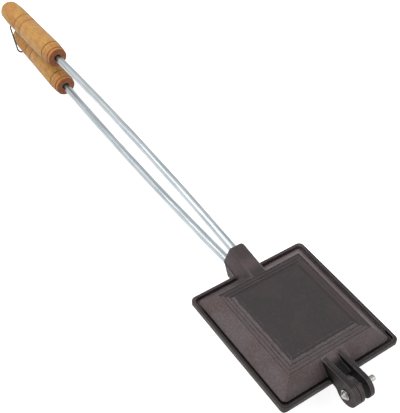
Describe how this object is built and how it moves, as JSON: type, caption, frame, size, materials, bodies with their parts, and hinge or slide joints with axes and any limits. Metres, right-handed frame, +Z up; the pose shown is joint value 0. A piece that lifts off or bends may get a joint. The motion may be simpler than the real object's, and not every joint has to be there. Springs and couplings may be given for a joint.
{
  "type": "pie iron",
  "caption": "Camping pie iron: two hinged square cast-iron pans on long steel rods with turned wooden handles and a wire latch.",
  "frame": {"origin": "centre of the lower pan's flat underside", "axes": "+X along the iron from the handles to the hinge, +Y across the pans, +Z up, square to the lower pan's underside"},
  "size_m": [0.6327, 0.12, 0.0603],
  "materials": {
    "pan_iron": "seasoned, slightly rough, satin",
    "rod_steel": "bright zinc plate with fine drawing lines",
    "hinge_steel": "bright plated",
    "handle_wood": "clear lacquer, satin",
    "washer_steel": "plated",
    "latch_wire": "dull plated wire"
  },
  "bodies": {
    "lower_half": {"lower_plate": "pan_iron", "lower_rod": "rod_steel", "lower_handle": "handle_wood", "lower_handle_washer": "washer_steel", "hinge_pin": "hinge_steel", "hinge_washer": "hinge_steel", "hinge_split_pin": "hinge_steel"},
    "upper_half": {"upper_plate": "pan_iron", "upper_rod": "rod_steel", "upper_handle": "handle_wood", "upper_handle_washer": "washer_steel"},
    "latch": {"latch_bail": "latch_wire"}
  },
  "joints": [
    {"name": "main_hinge", "type": "hinge", "parent": "lower_half", "child": "upper_half", "pos_m": [0.0798, 0, 0.0234], "axis": [0, 1, 0], "range_deg": [0, 180]},
    {"name": "latch_swing", "type": "hinge", "parent": "lower_half", "child": "latch", "pos_m": [-0.50914, 0.00178, -0.00728], "axis": [0, -1, 0], "range_deg": [0, 225]}
  ]
}
